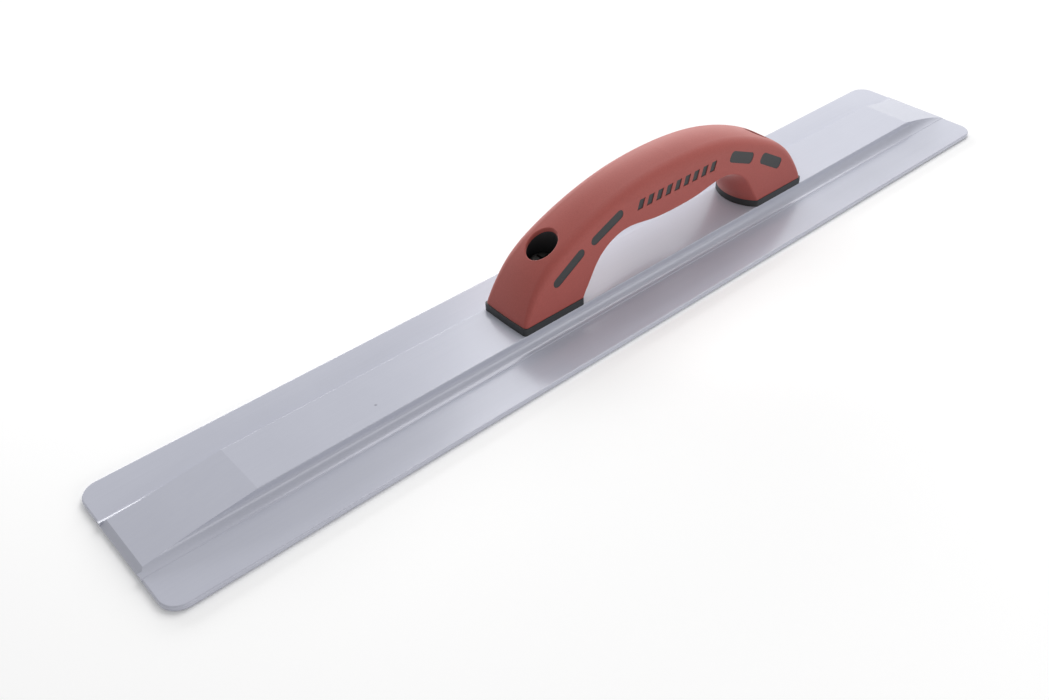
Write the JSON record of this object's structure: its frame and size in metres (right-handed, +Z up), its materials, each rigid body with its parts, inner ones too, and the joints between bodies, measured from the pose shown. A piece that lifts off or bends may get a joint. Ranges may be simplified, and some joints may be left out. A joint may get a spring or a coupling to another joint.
{
  "type": "magnesium hand float",
  "caption": "Long flat magnesium finishing blade with a raised centre rib and a soft-skinned bow handle screwed to the rib, for smoothing fresh concrete.",
  "frame": {"origin": "middle of the blade's flat sole", "axes": "+X along the blade towards the end nearer the handle, +Y towards the blade's back edge, +Z up from the sole"},
  "size_m": [0.508, 0.0794, 0.0612],
  "materials": {
    "blade_metal": "extruded magnesium alloy, fine lengthwise drawing lines, satin",
    "core_plastic": "moulded nylon, dark grey, fine matte grain",
    "skin_rubber": "soft moulded thermoplastic rubber, brick red, fine matte grain",
    "screw_steel": "steel with a black phosphate coat"
  },
  "bodies": {
    "root": {"blade": "blade_metal", "handle_core": "core_plastic", "grip_skin": "skin_rubber", "near_screw": "screw_steel", "far_screw": "screw_steel"}
  },
  "joints": []
}
